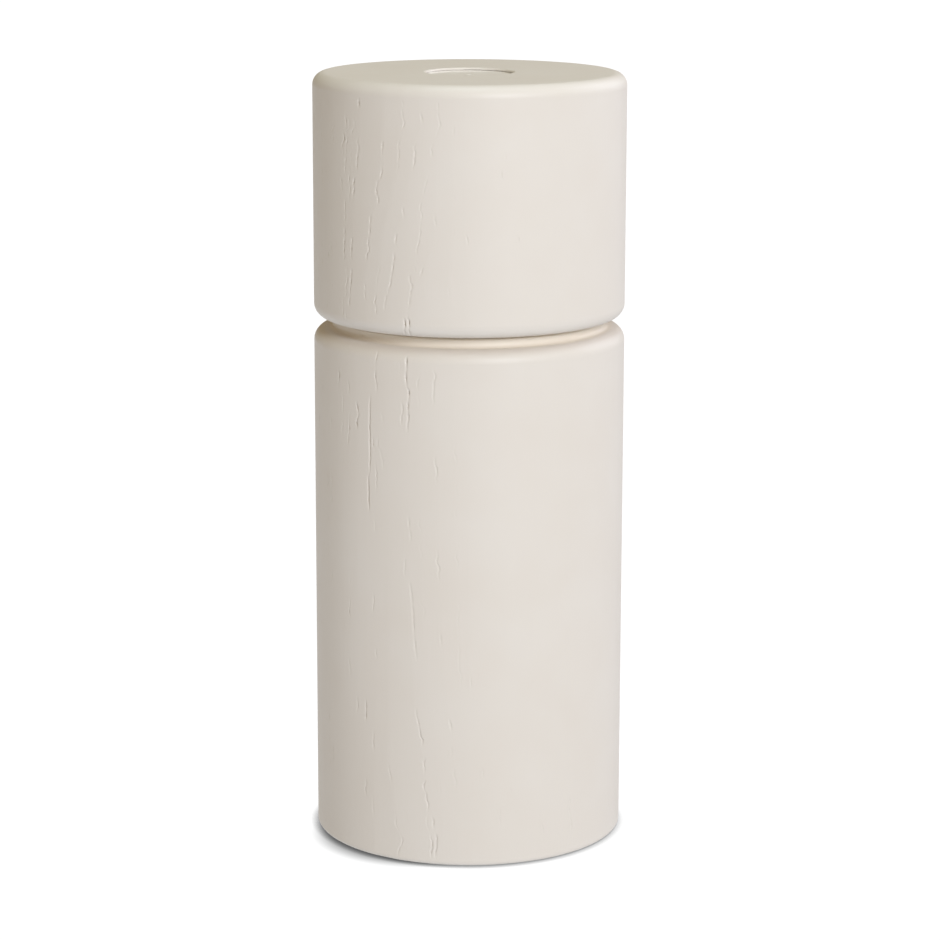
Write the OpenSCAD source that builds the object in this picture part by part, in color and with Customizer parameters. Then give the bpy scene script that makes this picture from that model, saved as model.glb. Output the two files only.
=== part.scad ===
// Twist-top spice mill: a turned wooden body and cap with a ceramic grinder.
// The frame stands on the table: origin at the middle of the foot, +Z up the mill's axis.
// Turning the cap turns the shaft and the inner burr; the dial under the foot sets the grind.

/* [Mill] */
// Outer diameter of the cap and the body
mill_d = 65; // [62.5:0.5:80]
// Height from the table to the top of the cap
mill_h = 161; // [150:1:220]

/* [Cap] */
// Height of the cap
cap_h = 50.6; // [46:0.1:70]
// Edge radius at the top of the cap
cap_top_r = 2.6; // [1:0.1:5]
// Edge radius at the foot of the cap
cap_foot_r = 2.7; // [1:0.1:3.5]
// Diameter of the shallow dish in the top of the cap
dish_d = 18; // [12:0.5:26]
// Depth of the dish
dish_depth = 0.8; // [0.6:0.1:2]
// Rounding of the dish's lip
dish_lip_r = 0.5; // [0.2:0.1:0.6]
// Number of drilled dots in the dish
dot_count = 3; // [3:1:6]
// Diameter of each drilled dot
dot_d = 1.1; // [0.6:0.1:2]
// Depth of each drilled dot
dot_depth = 0.5; // [0.3:0.1:1]
// Radius of the circle that the dots stand on
dot_ring_r = 1.5; // [1.2:0.1:3]

/* [Body] */
// Open height of the groove between the body's shoulder and the cap
groove_h = 2.3; // [2:0.1:4]
// Depth of that groove, from the outside to the neck
groove_depth = 4; // [3:0.1:5]
// Edge radius at the body's shoulder
shoulder_r = 2.7; // [1:0.1:3.5]
// Edge radius at the body's foot
foot_r = 0.8; // [0.3:0.1:2]
// Bore of the spice hopper
hopper_d = 38; // [37:0.5:39]
// Wall of the spigot that centres the cap
spigot_wall = 4; // [3:0.1:4.5]
// Height of the spigot inside the cap
spigot_h = 7.6; // [4:0.1:11]
// Chamfer on the spigot's rim and in the mouth that it enters
spigot_chamfer = 0.8; // [0.3:0.1:1.2]
// Room above the spigot inside the cap
spigot_room = 1; // [0.5:0.1:2]
// Diameter of the well under the foot that the dial sits in
well_d = 54; // [53:0.5:56]
// Depth of the well, up to the grinder's flange seat
well_depth = 16; // [15:0.1:24]

/* [Glide ring] */
// Width of the glide ring's face
glide_w = 3; // [2:0.1:3.5]
// Thickness of the glide ring
glide_t = 2; // [1.2:0.1:4]
// Height of the glide ring above the neck
glide_proud = 0.4; // [0.2:0.1:0.8]

/* [Burrs] */
// Height of the ceramic stator
stator_h = 14; // [13:0.1:18]
// Inner diameter at the stator's lower mouth
stator_mouth_d = 30.2; // [30:0.1:30.8]
// Inner diameter at the stator's waist
stator_waist_d = 26.2; // [25.8:0.1:27]
// Height of the waist above the stator's foot
stator_waist_h = 5.5; // [5.2:0.1:6]
// Inner diameter at the stator's feed funnel
stator_funnel_d = 32; // [30:0.1:33]
// Width of the stator's rim around its feed funnel
stator_rim = 1.9; // [1.5:0.1:2.2]
// Number of fine teeth at the stator's mouth
stator_fine_teeth = 24; // [12:1:30]
// Number of coarse teeth in the stator's funnel
stator_coarse_teeth = 12; // [8:1:14]
// Number of round keys that stop the stator turning
key_count = 3; // [2:1:4]
// Radius of each key
key_r = 1.4; // [1:0.1:1.6]
// Height of the ceramic rotor
rotor_h = 12; // [11.4:0.1:13]
// Diameter at the rotor's foot
rotor_foot_d = 29; // [28.4:0.1:29.2]
// Diameter at the rotor's top
rotor_top_d = 20; // [19.4:0.1:20.4]
// Drop of the rotor's foot below the stator's
rotor_drop = 0.5; // [0.2:0.1:1]
// Number of grooves on the rotor
rotor_teeth = 14; // [8:1:16]
// Radius of the fine teeth's grooves
fine_groove_r = 0.6; // [0.4:0.1:0.8]
// Radius of the coarse teeth's grooves
coarse_groove_r = 1.2; // [0.8:0.1:1.4]
// Slant of the burr grooves, in degrees
tooth_slant = 20; // [0:1:25]

/* [Housing] */
// Wall of the grinder housing's barrel
barrel_wall = 2; // [1.8:0.1:2.2]
// Height of the housing's throat above the stator
throat_h = 10.4; // [9.5:0.1:16]
// Ledge that holds the stator down from above
throat_ledge = 1.5; // [0.8:0.1:2]
// Lead-in chamfer at the top of the throat
throat_chamfer = 0.8; // [0.4:0.1:1.4]
// Thickness of the housing's flange
flange_t = 2.5; // [1.5:0.1:3]
// Thickness of the stator retainer plate
plate_t = 1.2; // [0.8:0.1:1.6]
// Bore of the retainer plate
plate_bore_d = 31; // [30.5:0.1:32]
// Number of arms that carry the hub
arm_count = 4; // [3:1:5]
// Width of each arm
arm_w = 4.4; // [3:0.1:6]
// Height of each arm
arm_h = 5; // [3:0.1:6]
// Drop of the arms below the top of the barrel
arm_drop = 1.5; // [1.5:0.1:2.5]
// Height of the hub
hub_h = 8; // [7.5:0.1:9]
// Wall of the hub around the bush
hub_wall = 2; // [1.6:0.1:3]

/* [Shaft] */
// Diameter of the shaft
shaft_d = 8; // [7.5:0.1:8.4]
// Across flats of the squared ends
square_w = 6; // [5.6:0.1:6.4]
// Length of the squared end inside the drive socket
drive_l = 18.4; // [12:0.1:22]
// Chamfer at the top of the shaft
shaft_chamfer = 0.8; // [0.3:0.1:1.2]
// Wall of the bearing bush
bush_wall = 1.5; // [1:0.1:2]
// Thickness of the bush's flange
bush_flange_t = 1; // [0.6:0.1:2]
// Width of the bush's flange beyond its barrel
bush_flange_w = 1.5; // [1:0.1:2]
// Thickness of the thrust washer and of the shaft clip
washer_t = 0.8; // [0.5:0.1:1.2]
// Depth of the clip and ring grooves in the shaft
shaft_groove = 0.8; // [0.5:0.1:1]
// Outer diameter of the shaft clip
clip_d = 13; // [11.5:0.1:14]
// Width of the clip's open mouth
clip_mouth = 5.2; // [4:0.1:5.8]
// Cord diameter of the grip ring
grip_cord = 1.5; // [1.3:0.1:1.8]

/* [Drive socket] */
// Diameter of the drive socket's flange
socket_flange_d = 34; // [31:0.5:37]
// Thickness of the drive socket's flange
socket_flange_t = 3; // [2.5:0.1:5]
// Outer diameter of the drive socket's boss
boss_d = 16; // [14.5:0.1:18]
// Depth of the round mouth that takes the grip ring
mouth_depth = 5; // [4.2:0.1:7]
// Room above the shaft inside the socket
socket_room = 1; // [0.4:0.1:3]
// Thickness of the closed end above the shaft
socket_end_t = 2; // [1:0.1:4]

/* [Adjuster] */
// Travel of the rotor each way from rest, one turn of the stud's thread
adjust_travel = 0.8; // [0.5:0.1:1]
// Diameter of the carrier's flange under the rotor
carrier_flange_d = 22; // [18:0.1:24]
// Thickness of the carrier's flange
carrier_flange_t = 2; // [1.5:0.1:2.8]
// Across flats of the carrier's hexagonal hub
carrier_hex = 12.4; // [12.2:0.1:12.8]
// Depth of the spring pocket in the rotor
spring_pocket = 3; // [1.5:0.1:4]
// Wire diameter of the grind spring
spring_wire = 0.9; // [0.7:0.1:1]
// Mean diameter of the grind spring
spring_d = 11; // [10.4:0.1:11.2]
// Number of turns of the grind spring
spring_turns = 4; // [3:1:4]
// Outer diameter of the click washer
click_d = 16; // [13:0.1:20]
// Thickness of the click washer
click_t = 0.6; // [0.3:0.1:1]
// Diameter of the dial
dial_d = 27; // [24:0.5:29]
// Height of the dial
dial_h = 8; // [6.5:0.1:8.6]
// Number of grip flutes around the dial
dial_flutes = 24; // [12:1:30]
// Radius of each grip flute
flute_r = 1; // [0.6:0.1:1.2]
// Number of grind marks under the dial
mark_count = 5; // [3:1:7]
// Diameter of the finest grind mark
mark_d = 1; // [0.8:0.1:1.2]
// Growth of each mark over the one before
mark_step = 0.4; // [0.2:0.1:0.4]
// Angle between two marks, in degrees
mark_angle = 30; // [25:1:40]
// Depth of each mark
mark_depth = 0.5; // [0.3:0.1:0.8]
// Diameter of the threaded stud at the foot of the shaft
stud_d = 5; // [4.5:0.1:5.4]
// Wall of the dial's threaded insert
insert_wall = 1.5; // [1:0.1:1.9]
// Diameter of the recess under the dial for the stop washer
stop_recess_d = 10; // [9:0.1:13]
// Depth of that recess
stop_recess_depth = 2.3; // [1.9:0.1:3.2]

/* [Fasteners] */
// Shank diameter of the wood screws
screw_d = 3; // [2.5:0.1:3.2]
// Head diameter of the wood screws
screw_head_d = 5; // [4.6:0.1:5.4]
// Diameter at the crown of that head
screw_crown_d = 4; // [3.4:0.1:4.5]
// Head height of the wood screws
screw_head_h = 1.5; // [1.2:0.1:1.8]
// Length of the wood screws under the head
screw_l = 13; // [8:0.5:16]
// Distance of the grinder's screws from the edge of its flange
screw_inset = 3.1; // [2.8:0.1:4]
// Radius of the circle of the socket's screws
socket_screw_r = 12.5; // [12:0.1:13]
// Number of screws in each circle
screw_count = 3; // [2:1:4]
// Thickness of the stop washer
stop_washer_t = 0.6; // [0.4:0.1:1]
// Shank diameter of the stop screw
stop_screw_d = 2.5; // [2:0.1:3]
// Length of the stop screw under its head
stop_screw_l = 5; // [3:0.1:7]
// Head diameter of the stop screw
stop_head_d = 4.6; // [4:0.1:6]
// Head height of the stop screw
stop_head_h = 1.2; // [0.8:0.1:1.4]
// Width of the slots of the screws' cross recesses
recess_slot = 0.7; // [0.5:0.1:0.9]

/* [Clearances] */
// Radial gap of a running or sliding fit
run_gap = 0.05; // [0.02:0.01:0.1]
// Radial gap of a pressed or seated piece
seat_gap = 0.05; // [0.02:0.01:0.1]
// Radial gap between faces that pass each other freely
free_gap = 0.3; // [0.15:0.05:0.5]
// Axial gap at stops and end faces
end_gap = 0.1; // [0.05:0.05:0.2]

/* [Hidden] */
$fn = 96;
// Overshoot of a cutting shape past the face that it opens
cut = 1;
// Small overshoot of a rounding or a chamfer past its edge, and overlap of joined solids
nick = 0.2;
// Diameter of the point of a wood screw
screw_point = 0.4;
// Rings of points in one turn of the spring, and points in one ring
spring_rings = 16;
spring_sides = 8;

mill_r = mill_d / 2;
cap_z = mill_h - cap_h;
shoulder_z = cap_z - groove_h;
neck_top = cap_z - glide_proud;
neck_r = mill_r - groove_depth;
hopper_r = hopper_d / 2;
spigot_r = hopper_r + spigot_wall;
spigot_top = cap_z + spigot_h;
glide_r = (spigot_r + neck_r) / 2;

// Heights and diameters of the grinder, counted up from the well
stator_z = well_depth - flange_t;
plate_z = stator_z - plate_t;
throat_z = stator_z + stator_h + end_gap;
barrel_top = throat_z + throat_h;
hub_z = barrel_top - hub_h;
bush_top = barrel_top + bush_flange_t;
clip_z = bush_top + washer_t + end_gap;
flange_d = well_d - 2 * free_gap;
grinder_screw_r = flange_d / 2 - screw_inset;
stator_d = stator_funnel_d + 2 * stator_rim;
pocket_d = stator_d + 2 * seat_gap;
barrel_d = pocket_d + 2 * barrel_wall;
throat_d = stator_d - 2 * throat_ledge;
bush_d = shaft_d + 2 * run_gap + 2 * bush_wall;
bush_flange_d = bush_d + 2 * bush_flange_w;
hub_d = bush_d + 2 * seat_gap + 2 * hub_wall;
groove_d = shaft_d - 2 * shaft_groove;

// Heights of the rotor, its carrier and the dial, counted down from the stator
rotor_z = stator_z - rotor_drop;
carrier_z = rotor_z - carrier_flange_t;
spring_seat_z = rotor_z + rotor_h - spring_pocket;
pocket_bore_d = hex_corner(carrier_hex) + 2 * seat_gap;
click_z = carrier_z - click_t;
dial_z = click_z - dial_h;
insert_d = stud_d + 2 * run_gap + 2 * insert_wall;
stop_roof_z = dial_z + stop_recess_depth;
stud_z = stop_roof_z - adjust_travel - end_gap;
stop_washer_z = stud_z - stop_washer_t;
lower_square_z = carrier_z + adjust_travel + end_gap;
lower_square_top = hub_z - end_gap;

// Heights in the cap, counted up from its foot
ceiling_z = spigot_top + spigot_room;
mouth_top = ceiling_z + mouth_depth;
upper_square_z = mouth_top - end_gap;
shaft_top = upper_square_z + drive_l;
socket_hole_top = shaft_top + socket_room;
socket_top = socket_hole_top + socket_end_t;
grip_z = ceiling_z + mouth_depth / 2;
grip_ring_r = groove_d / 2 + seat_gap + grip_cord / 2;
mouth_d = 2 * grip_ring_r + grip_cord + 2 * run_gap;

// Colours of the materials
painted_wood = "#ded8ce";
acetal = "#e9e6dd";
black_nylon = "#2b2b2c";
ceramic = "#f1efe9";
steel = "#b9bbbd";
aluminium = "#c7c9cb";
brass = "#b8964f";
silicone = "#77736c";

// Corner-to-corner width of a hexagon
function hex_corner(across) = across / cos(30);

// What a rounded edge takes off a profile's corner at (x, y); sx and sy say
// on which side of the corner there is no material
module round_off(x, y, r, sx, sy) {
    translate([x - sx * r, y - sy * r])
        mirror([sx < 0 ? 1 : 0, 0]) mirror([0, sy < 0 ? 1 : 0])
            difference() {
                square(r + nick);
                circle(r);
            }
}

// A tube between two heights
module tube(d_out, d_in, z0, z1) {
    translate([0, 0, z0]) difference() {
        cylinder(d = d_out, h = z1 - z0);
        translate([0, 0, -cut]) cylinder(d = d_in, h = z1 - z0 + 2 * cut);
    }
}

// A disc between two heights
module disc(d, z0, z1) translate([0, 0, z0]) cylinder(d = d, h = z1 - z0);

// Copies spaced evenly around the axis
module around(count, start = 0) {
    for (i = [0:count - 1]) rotate(start + i * 360 / count) children();
}

// A squared bar, its corners left round by the rod that it is milled from
module square_bar(across, corner_d, z0, z1) {
    translate([0, 0, z0]) intersection() {
        translate([-across / 2, -across / 2, 0]) cube([across, across, z1 - z0]);
        cylinder(d = corner_d, h = z1 - z0);
    }
}

// A round cutter that runs along a burr's cone from (r0, z0) to (r1, z1), slanted
module tooth_groove(r0, z0, r1, z1, groove_r) {
    length = norm([r1 - r0, z1 - z0]) + 2 * cut;
    translate([(r0 + r1) / 2, 0, (z0 + z1) / 2])
        rotate([tooth_slant, 0, 0]) rotate([0, atan2(r1 - r0, z1 - z0), 0])
            cylinder(r = groove_r, h = length, center = true);
}

// Two crossed slots in a screw's head
module cross_recess(width, depth) {
    for (a = [0, 90]) rotate(a)
        translate([-width / 2, -recess_slot / 2, -cut]) cube([width, recess_slot, depth + cut]);
}

// A pan-head wood screw; the head's seat is at z = 0 and the point is up
module wood_screw() {
    difference() {
        union() {
            translate([0, 0, -screw_head_h])
                cylinder(d1 = screw_crown_d, d2 = screw_head_d, h = screw_head_h);
            cylinder(d = screw_d, h = screw_l - screw_d);
            translate([0, 0, screw_l - screw_d])
                cylinder(d1 = screw_d, d2 = screw_point, h = screw_d);
        }
        translate([0, 0, -screw_head_h]) cross_recess(screw_d, screw_head_h / 2);
    }
}

// The hole of a wood screw, from its head's seat upwards
module pilot() {
    translate([0, 0, -cut]) cylinder(d = screw_d + 2 * seat_gap, h = screw_l + cut + end_gap);
}

// Turned wooden cap: rounded edges, a dish in its top, and a stepped bore from below
module cap() color(painted_wood) difference() {
    rotate_extrude() difference() {
        translate([0, cap_z]) square([mill_r, cap_h]);
        translate([0, cap_z - cut]) square([spigot_r + free_gap, ceiling_z - cap_z + cut]);
        translate([spigot_r + free_gap, cap_z])
            polygon([[-cut, -cut], [spigot_chamfer + cut, -cut], [-cut, spigot_chamfer + cut]]);
        translate([0, ceiling_z - cut])
            square([socket_flange_d / 2 + seat_gap, socket_flange_t + cut]);
        translate([0, ceiling_z]) square([boss_d / 2 + seat_gap, socket_top + end_gap - ceiling_z]);
        translate([0, mill_h - dish_depth]) square([dish_d / 2, dish_depth + cut]);
        round_off(dish_d / 2, mill_h, dish_lip_r, -1, 1);
        round_off(mill_r, mill_h, cap_top_r, 1, 1);
        round_off(mill_r, cap_z, cap_foot_r, 1, -1);
    }
    around(screw_count) translate([socket_screw_r, 0, ceiling_z]) pilot();
    around(dot_count, 90) translate([dot_ring_r, 0, mill_h - dish_depth - dot_depth])
        cylinder(d = dot_d, h = dot_depth + cut);
}

// Moulded socket inside the cap: a screwed flange and a boss that drives the shaft
module drive_socket() color(acetal) difference() {
    union() {
        disc(socket_flange_d, ceiling_z, ceiling_z + socket_flange_t);
        disc(boss_d, ceiling_z, socket_top);
    }
    disc(mouth_d, ceiling_z - cut, mouth_top);
    square_bar(square_w + 2 * run_gap, shaft_d + 2 * run_gap, mouth_top - cut, socket_hole_top);
    around(screw_count) translate([socket_screw_r, 0, ceiling_z]) pilot();
}

// Wood screws that hold the drive socket in the cap
module socket_screws() color(steel)
    around(screw_count) translate([socket_screw_r, 0, ceiling_z]) wood_screw();

// Turned wooden body: hopper, neck and spigot above, grinder bore and dial well below
module body() color(painted_wood) difference() {
    rotate_extrude() difference() {
        union() {
            square([mill_r, shoulder_z]);
            square([neck_r, neck_top]);
            square([spigot_r, spigot_top]);
        }
        translate([0, -cut]) square([hopper_r, spigot_top + 2 * cut]);
        translate([0, -cut]) square([well_d / 2, well_depth + cut]);
        square([barrel_d / 2 + seat_gap, barrel_top + end_gap]);
        translate([glide_r - glide_w / 2 - seat_gap, cap_z - glide_t])
            square([glide_w + 2 * seat_gap, glide_t + cut]);
        translate([spigot_r, spigot_top])
            polygon([[cut, cut], [-spigot_chamfer - cut, cut], [cut, -spigot_chamfer - cut]]);
        round_off(mill_r, shoulder_z, shoulder_r, 1, 1);
        round_off(mill_r, 0, foot_r, 1, -1);
    }
    around(screw_count) translate([grinder_screw_r, 0, plate_z]) pilot();
}

// Low-friction ring let into the neck, which the cap turns on
module glide_ring() color(acetal)
    tube(2 * glide_r + glide_w, 2 * glide_r - glide_w, cap_z - glide_t, cap_z);

// Moulded grinder housing: flange, barrel, throat, and arms that carry the shaft's hub
module grinder_housing() color(black_nylon) difference() {
    union() {
        rotate_extrude() polygon([
            [pocket_d / 2, stator_z], [flange_d / 2, stator_z], [flange_d / 2, well_depth],
            [barrel_d / 2, well_depth], [barrel_d / 2, barrel_top],
            [throat_d / 2 + throat_chamfer, barrel_top], [throat_d / 2, barrel_top - throat_chamfer],
            [throat_d / 2, throat_z], [pocket_d / 2, throat_z]]);
        disc(hub_d, hub_z, barrel_top);
        around(arm_count, 180 / arm_count)
            translate([bush_d / 2 + hub_wall / 2, -arm_w / 2, barrel_top - arm_drop - arm_h])
                cube([(throat_d + barrel_wall - bush_d - hub_wall) / 2, arm_w, arm_h]);
        around(key_count) translate([pocket_d / 2, 0, stator_z + nick])
            cylinder(r = key_r, h = throat_z - stator_z);
    }
    disc(bush_d + 2 * seat_gap, hub_z - cut, barrel_top + cut);
    around(screw_count) translate([grinder_screw_r, 0, plate_z]) pilot();
}

// Pressed ring that holds the stator up in its housing
module retainer_plate() color(steel) difference() {
    tube(flange_d, plate_bore_d, plate_z, stator_z);
    around(screw_count) translate([grinder_screw_r, 0, plate_z]) pilot();
}

// Wood screws that hold the plate and the housing in the body
module housing_screws() color(steel)
    around(screw_count) translate([grinder_screw_r, 0, plate_z]) wood_screw();

// Fixed ceramic burr: a feed funnel over a toothed mouth, keyed to the housing
module stator_burr() color(ceramic) difference() {
    rotate_extrude() translate([0, stator_z]) polygon([
        [stator_mouth_d / 2, 0], [stator_d / 2, 0], [stator_d / 2, stator_h],
        [stator_funnel_d / 2, stator_h], [stator_waist_d / 2, stator_waist_h]]);
    around(stator_fine_teeth)
        tooth_groove(stator_mouth_d / 2, stator_z, stator_waist_d / 2,
                     stator_z + stator_waist_h, fine_groove_r);
    around(stator_coarse_teeth)
        tooth_groove(stator_waist_d / 2, stator_z + stator_waist_h, stator_funnel_d / 2,
                     stator_z + stator_h, coarse_groove_r);
    around(key_count) translate([pocket_d / 2, 0, stator_z - cut])
        cylinder(r = key_r + seat_gap, h = stator_h + 2 * cut);
}

// Flanged bush that the shaft runs in
module bearing_bush() color(acetal) {
    tube(bush_d, shaft_d + 2 * run_gap, hub_z, bush_top);
    tube(bush_flange_d, bush_d - bush_wall, barrel_top, bush_top);
}

// Washer between the bush and the shaft's clip
module thrust_washer() color(steel)
    tube(bush_flange_d, shaft_d + 2 * run_gap, bush_top, bush_top + washer_t);

// Shaft: threaded stud, lower square for the rotor, round journal, upper square for the cap
module shaft() color(aluminium) difference() {
    union() {
        disc(stud_d, stud_z, lower_square_top);
        square_bar(square_w, shaft_d, lower_square_z, lower_square_top + nick);
        disc(shaft_d, lower_square_top, upper_square_z);
        square_bar(square_w, shaft_d, upper_square_z - nick, shaft_top);
    }
    tube(shaft_d + cut, groove_d, clip_z - end_gap / 2, clip_z + washer_t + end_gap / 2);
    tube(shaft_d + cut, groove_d, grip_z - grip_cord / 2 - end_gap, grip_z + grip_cord / 2 + end_gap);
    disc(stop_screw_d + 2 * seat_gap, stud_z - cut, stud_z + stop_screw_l);
    translate([0, 0, shaft_top - shaft_chamfer]) difference() {
        cylinder(d = shaft_d + cut, h = shaft_chamfer + cut);
        cylinder(d1 = shaft_d, d2 = shaft_d - 2 * (shaft_chamfer + cut), h = shaft_chamfer + cut);
    }
}

// Spring clip that hangs the shaft on the thrust washer
module shaft_clip() color(steel) difference() {
    tube(clip_d, groove_d + 2 * seat_gap, clip_z, clip_z + washer_t);
    translate([0, -clip_mouth / 2, clip_z - cut]) cube([clip_d, clip_mouth, washer_t + 2 * cut]);
}

// Silicone ring on the shaft that grips the socket's mouth, so that the cap stays on
module grip_ring() color(silicone)
    rotate_extrude() translate([grip_ring_r, grip_z]) circle(d = grip_cord);

// Points along the grind spring's wire, from its foot to its top
spring_z0 = spring_seat_z + spring_wire / 2 + end_gap / 2;
spring_z1 = hub_z - spring_wire / 2 - end_gap / 2;
spring_steps = spring_turns * spring_rings;
spring_line = [for (i = [0:spring_steps])
    let (a = 360 * i / spring_rings)
    [spring_d / 2 * cos(a), spring_d / 2 * sin(a),
     spring_z0 + (spring_z1 - spring_z0) * i / spring_steps]];
spring_gaps = [for (i = [0:spring_steps], j = [i + spring_rings / 2:spring_steps])
    norm(spring_line[i] - spring_line[j]) - spring_wire];
echo(spring_least_gap = min(spring_gaps));

// One ring of points round the wire at a step of the spring
function spring_ring(i) =
    let (a = 360 * i / spring_rings, out = [cos(a), sin(a), 0])
    [for (k = [0:spring_sides - 1])
        let (b = 360 * k / spring_sides)
        spring_line[i] + spring_wire / 2 * (cos(b) * out + sin(b) * [0, 0, 1])];

// Compression spring between the hub and the rotor's carrier
module grind_spring() color(steel) {
    points = [for (i = [0:spring_steps]) each spring_ring(i)];
    last = spring_steps * spring_sides;
    sides = [for (i = [0:spring_steps - 1], k = [0:spring_sides - 1])
        let (a = i * spring_sides + k, b = i * spring_sides + (k + 1) % spring_sides,
             c = b + spring_sides, d = a + spring_sides)
        each [[a, b, c], [a, c, d]]];
    foot = [for (k = [1:spring_sides - 2]) [0, k + 1, k]];
    head = [for (k = [1:spring_sides - 2]) [last, last + k, last + k + 1]];
    polyhedron(points, concat(sides, foot, head));
}

// Turning ceramic burr: a grooved cone on the carrier's hub
module rotor_burr() color(ceramic) difference() {
    translate([0, 0, rotor_z]) cylinder(d1 = rotor_foot_d, d2 = rotor_top_d, h = rotor_h);
    translate([0, 0, rotor_z - cut])
        cylinder(d = hex_corner(carrier_hex + 2 * seat_gap), h = rotor_h, $fn = 6);
    disc(pocket_bore_d, spring_seat_z, rotor_z + rotor_h + cut);
    around(rotor_teeth)
        tooth_groove(rotor_foot_d / 2, rotor_z, rotor_top_d / 2, rotor_z + rotor_h, coarse_groove_r);
}

// Moulded carrier: slides on the shaft's square and drives the rotor by its hexagon
module rotor_carrier() color(acetal) difference() {
    union() {
        disc(carrier_flange_d, carrier_z, rotor_z);
        translate([0, 0, carrier_z])
            cylinder(d = hex_corner(carrier_hex), h = spring_seat_z - carrier_z, $fn = 6);
    }
    square_bar(square_w + 2 * run_gap, shaft_d + 2 * run_gap, carrier_z - cut, spring_seat_z + cut);
}

// Spring washer that holds the dial where it is set
module click_washer() color(steel) tube(click_d, stud_d + 2 * free_gap, click_z, carrier_z);

// Fluted dial under the foot, with dots of growing size for the grind
module adjuster_dial() color(black_nylon) difference() {
    disc(dial_d, dial_z, click_z);
    disc(insert_d + 2 * seat_gap, stop_roof_z - cut, click_z + cut);
    disc(stop_recess_d, dial_z - cut, stop_roof_z);
    around(dial_flutes) translate([(dial_d + flute_r) / 2, 0, dial_z - cut])
        cylinder(r = flute_r, h = dial_h + 2 * cut);
    for (i = [0:mark_count - 1]) rotate(mark_angle * (i - (mark_count - 1) / 2))
        translate([(stop_recess_d + dial_d) / 4, 0, dial_z - cut])
            cylinder(d = mark_d + mark_step * i, h = mark_depth + cut);
}

// Threaded insert moulded into the dial, which climbs the stud
module dial_insert() color(brass)
    tube(insert_d, stud_d + 2 * run_gap, stop_roof_z, click_z);

// Washer and screw that keep the dial on the stud
module stop_washer() color(steel)
    tube(stop_recess_d - 2 * free_gap, stop_screw_d + 2 * seat_gap, stop_washer_z, stud_z);

module stop_screw() color(steel) difference() {
    union() {
        disc(stop_head_d, stop_washer_z - stop_head_h, stop_washer_z);
        disc(stop_screw_d, stop_washer_z - nick, stop_washer_z + stop_screw_l);
    }
    translate([0, 0, stop_washer_z - stop_head_h]) cross_recess(stop_screw_d, stop_head_h / 2);
}

cap();
drive_socket();
socket_screws();
body();
glide_ring();
grinder_housing();
retainer_plate();
housing_screws();
stator_burr();
bearing_bush();
thrust_washer();
shaft();
shaft_clip();
grip_ring();
grind_spring();
rotor_burr();
rotor_carrier();
click_washer();
adjuster_dial();
dial_insert();
stop_washer();
stop_screw();
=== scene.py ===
import math

import bpy
import numpy as np
from mathutils import Matrix, Vector


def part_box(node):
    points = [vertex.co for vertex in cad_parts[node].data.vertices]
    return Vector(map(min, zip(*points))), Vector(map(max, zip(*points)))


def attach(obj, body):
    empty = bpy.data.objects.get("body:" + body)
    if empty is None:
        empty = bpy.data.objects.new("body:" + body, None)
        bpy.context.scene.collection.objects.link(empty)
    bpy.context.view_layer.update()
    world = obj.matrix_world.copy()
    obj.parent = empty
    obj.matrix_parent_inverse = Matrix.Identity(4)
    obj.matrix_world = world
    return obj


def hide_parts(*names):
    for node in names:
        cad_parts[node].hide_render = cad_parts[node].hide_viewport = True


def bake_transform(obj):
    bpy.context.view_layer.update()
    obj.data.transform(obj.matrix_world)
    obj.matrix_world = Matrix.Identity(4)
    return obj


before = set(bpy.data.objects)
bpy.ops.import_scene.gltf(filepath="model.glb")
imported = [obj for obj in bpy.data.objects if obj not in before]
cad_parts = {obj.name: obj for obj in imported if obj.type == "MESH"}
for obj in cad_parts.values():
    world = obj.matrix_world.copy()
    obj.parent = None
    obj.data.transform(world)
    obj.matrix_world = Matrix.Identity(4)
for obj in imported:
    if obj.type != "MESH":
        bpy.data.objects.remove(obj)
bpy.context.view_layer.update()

# Body
# A plain cylinder turned from open-pored ash, painted cream outside, with a neck and a spigot for the cap.
# The hopper, the grinder's bore and the dial's well are bored out and left bare.
# It carries everything else: the grinder is screwed up into it from below.
mm = 0.001


def node_box(name):
    """Lowest and highest corner of a CAD node in mm, to a thousandth."""
    return np.round(np.array(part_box(name)) / mm, 3)


mill_r, _, spigot_top = node_box("body")[1]
cap_z = node_box("cap")[0][2]
ring_low, ring_high = node_box("glide_ring")
housing_high = node_box("grinder_housing")[1]
# What sits in a bore has this room round it and at its end
fit_gap = 0.05
end_gap = 0.1
foot_r = 0.8
groove_h = 2.3
groove_depth = 4.0
shoulder_z = cap_z - groove_h
shoulder_r = 2.7
neck_r = mill_r - groove_depth
neck_root_r = 0.9
ring_proud = 0.4
neck_top = cap_z - ring_proud
ring_w = 3.0
seat_z = ring_low[2]
seat_out = ring_high[0] + fit_gap
seat_in = seat_out - ring_w - 2 * fit_gap
seat_edge_r = 0.1
spigot_r = 23.0
spigot_chamfer = 0.8
hopper_r = 19.0
hopper_lip_r = 0.4
bore_r = 20.0
bore_top = housing_high[2] + end_gap
well_r = 27.0
well_depth = 16.0
# The edges of the neck, the spigot and the well are sanded to this rounding
edge_r = 0.3
# Rows of points up the wall stand this far apart, to show the taper of a pore
wall_step = 0.68
# A row this close to each rounding keeps the flat beside it flat
edge_support = 0.12


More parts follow.
